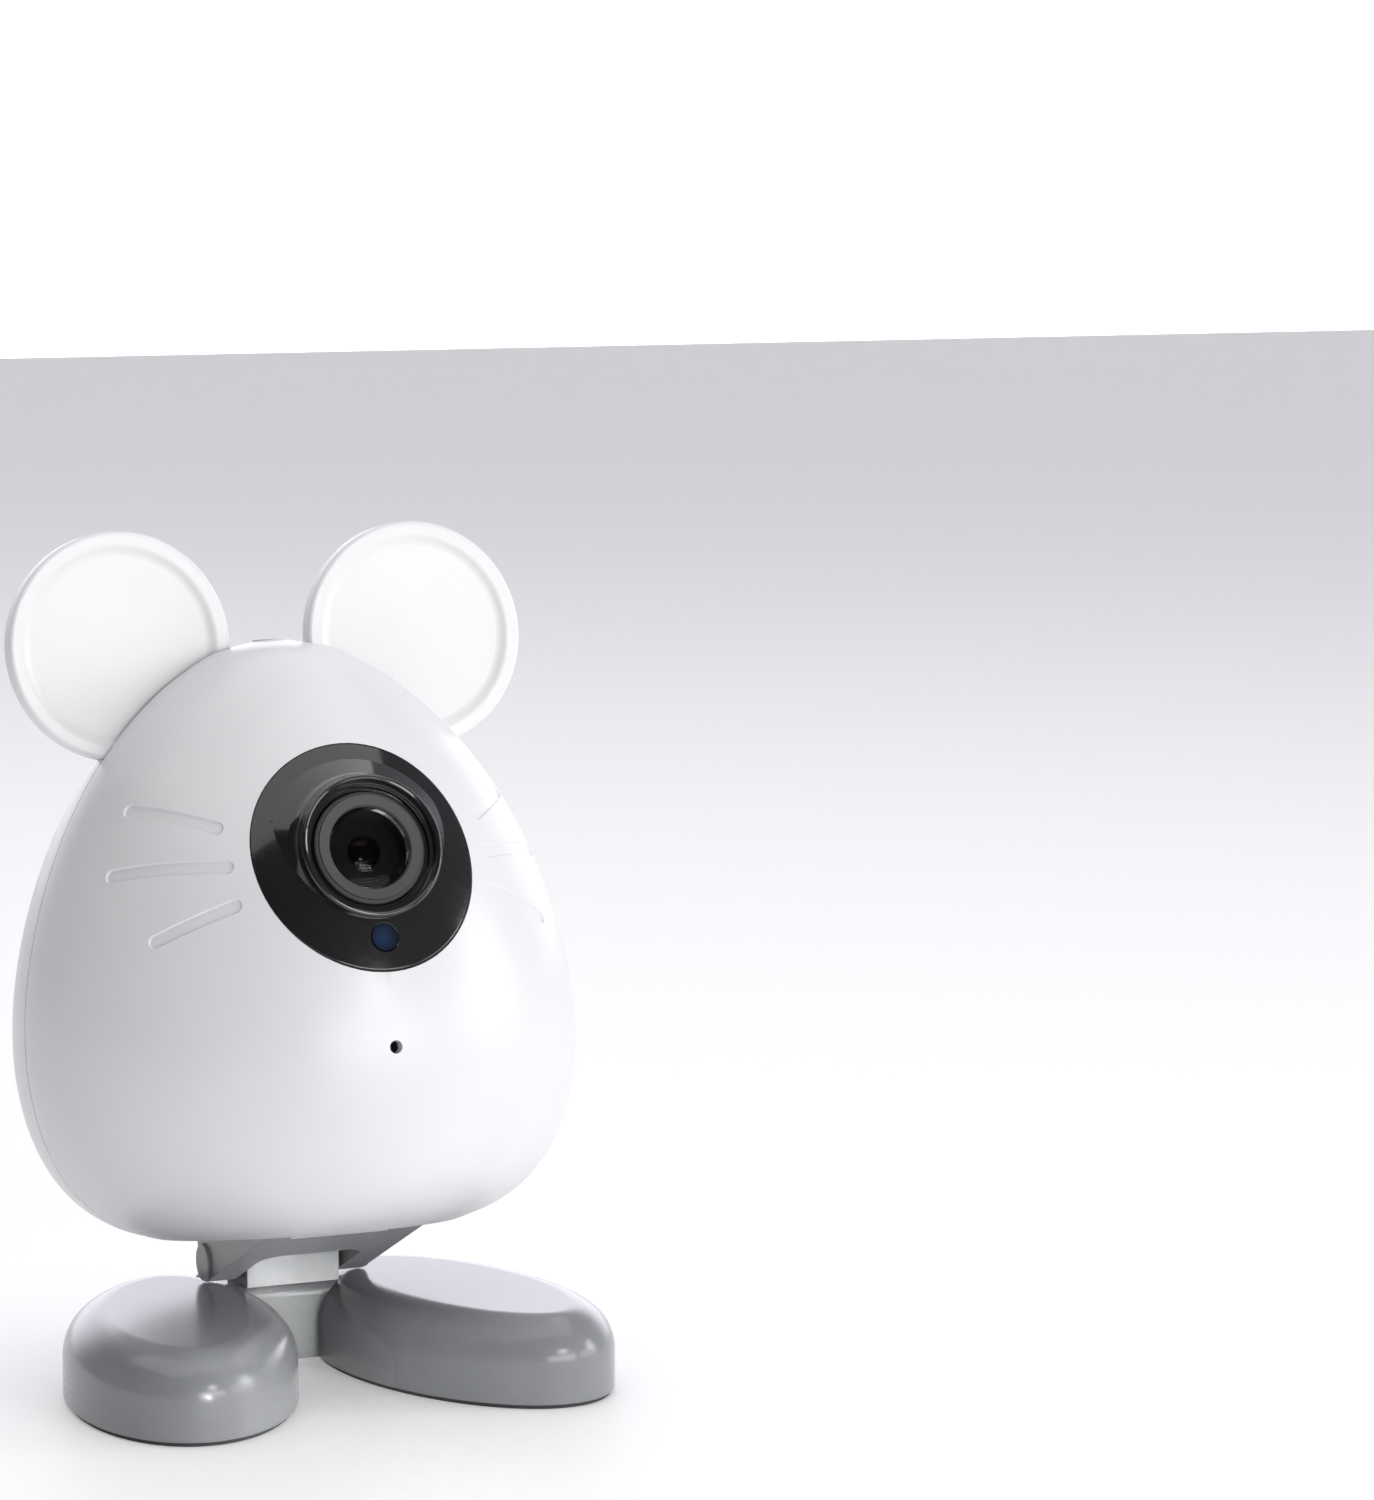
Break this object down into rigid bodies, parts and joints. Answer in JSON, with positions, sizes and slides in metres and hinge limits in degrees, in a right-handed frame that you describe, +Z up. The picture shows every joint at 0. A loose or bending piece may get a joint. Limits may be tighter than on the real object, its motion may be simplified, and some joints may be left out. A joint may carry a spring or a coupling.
{
  "type": "pet camera",
  "caption": "Egg-shaped pet camera with round ears, whisker grooves and a black lens window, on a hinged two-footed grey stand that lets the head tilt.",
  "frame": {"origin": "middle of the bounding box on the floor, under the head", "axes": "+Z up, the lens looks along -Y, +X to the right when facing the lens"},
  "size_m": [0.101, 0.1012, 0.1517],
  "materials": {
    "white_plastic": "satin white ABS",
    "ear_plastic": "satin white ABS",
    "black_window": "gloss black, infrared clear",
    "dark_ring": "matt dark grey",
    "lens_black": "black anodised",
    "glass": "coated glass",
    "blue_window": "gloss dark blue",
    "grey_plastic": "satin mid grey",
    "light_grey_plastic": "satin light grey",
    "dark_plastic": "matt black",
    "pcb": "solder mask",
    "led_clear": "clear epoxy",
    "tape": "foam tape",
    "rubber": "matt rubber",
    "steel": "zinc plated",
    "tin": "tinned",
    "magnet": "ferrite",
    "paper_cone": "treated paper",
    "flex": "flat cable",
    "wire": "PVC insulation"
  },
  "bodies": {
    "stand": {"feet_base": "grey_plastic", "base_plate": "steel", "base_screws": "steel", "foot_pads": "rubber", "hinge_tongue": "light_grey_plastic", "tongue_screws": "steel"},
    "head": {"front_shell": "white_plastic", "rear_shell": "white_plastic", "left_ear": "ear_plastic", "right_ear": "ear_plastic", "faceplate": "black_window", "window_tape": "tape", "lens_ring": "dark_ring", "lens_barrel": "lens_black", "front_lens": "glass", "inner_lenses": "glass", "lens_holder": "dark_plastic", "image_sensor": "tin", "camera_board": "pcb", "camera_cradle": "dark_plastic", "cradle_screws": "steel", "ir_board": "pcb", "ir_leds": "led_clear", "light_sensor_window": "blue_window", "light_sensor": "led_clear", "mic_boot": "rubber", "microphone": "tin", "main_board": "pcb", "board_screws": "steel", "processor_shield": "tin", "usb_socket": "tin", "microsd_socket": "tin", "reset_switch": "dark_plastic", "speaker_frame": "dark_plastic", "speaker_cone": "paper_cone", "speaker_magnet": "magnet", "speaker_gasket": "tape", "wifi_antenna": "pcb", "camera_ffc": "flex", "antenna_lead": "wire", "speaker_lead": "wire", "mic_lead": "wire", "shell_screws": "steel", "tilt_bracket": "grey_plastic", "mount_plate": "light_grey_plastic", "bracket_screws": "steel", "hinge_pin": "grey_plastic", "hinge_nut": "grey_plastic", "friction_washers": "rubber"},
    "reset": {"reset_button": "grey_plastic"}
  },
  "joints": [
    {"name": "head_tilt", "type": "hinge", "parent": "stand", "child": "head", "pos_m": [0, 0.00724, 0.01935], "axis": [-1, 0, 0], "range_deg": [-18, 14]},
    {"name": "reset_press", "type": "slide", "parent": "head", "child": "reset", "axis": [0, -0.9873, 0.1588], "range_m": [0, 0.0008], "stiffness_N_per_m": 400, "springref_m": -0.001}
  ]
}
